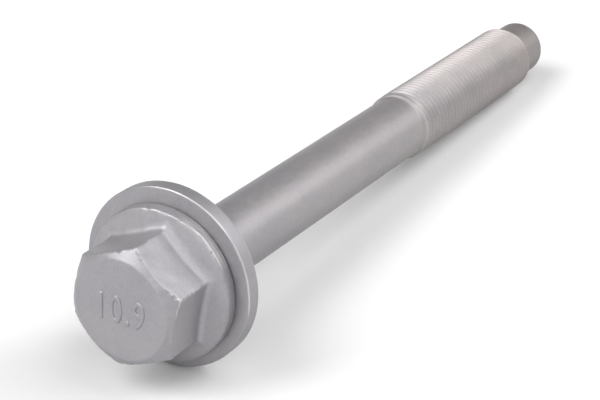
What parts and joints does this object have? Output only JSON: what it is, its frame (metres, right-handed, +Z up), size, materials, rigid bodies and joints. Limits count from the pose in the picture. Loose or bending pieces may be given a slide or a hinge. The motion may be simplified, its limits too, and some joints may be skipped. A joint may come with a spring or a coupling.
{
  "type": "flange bolt",
  "caption": "Long hexagon flange bolt with a reduced shank, a rolled fine thread, a plain dog point and a captive plain washer, in matt silver grey.",
  "frame": {"origin": "centre of the part's box, on the surface that the bolt lies on", "axes": "+X along the bolt towards its tip, level; +Z up; the bolt's own axis lies in the XZ plane and dips 3.956 degrees towards the tip"},
  "size_m": [0.135, 0.0282, 0.0283],
  "materials": {
    "bolt_steel": "steel with a matt silver-grey zinc flake coating, worn bright on the edges",
    "washer_steel": "steel with a matt silver-grey zinc flake coating, slightly duller than the bolt"
  },
  "bodies": {
    "bolt": {"bolt": "bolt_steel"},
    "washer": {"washer": "washer_steel"}
  },
  "joints": [
    {"name": "washer_spin", "type": "hinge", "parent": "bolt", "child": "washer", "pos_m": [-0.05422, 0, 0.01413], "axis": [0.9976, 0, -0.069], "continuous": true}
  ]
}
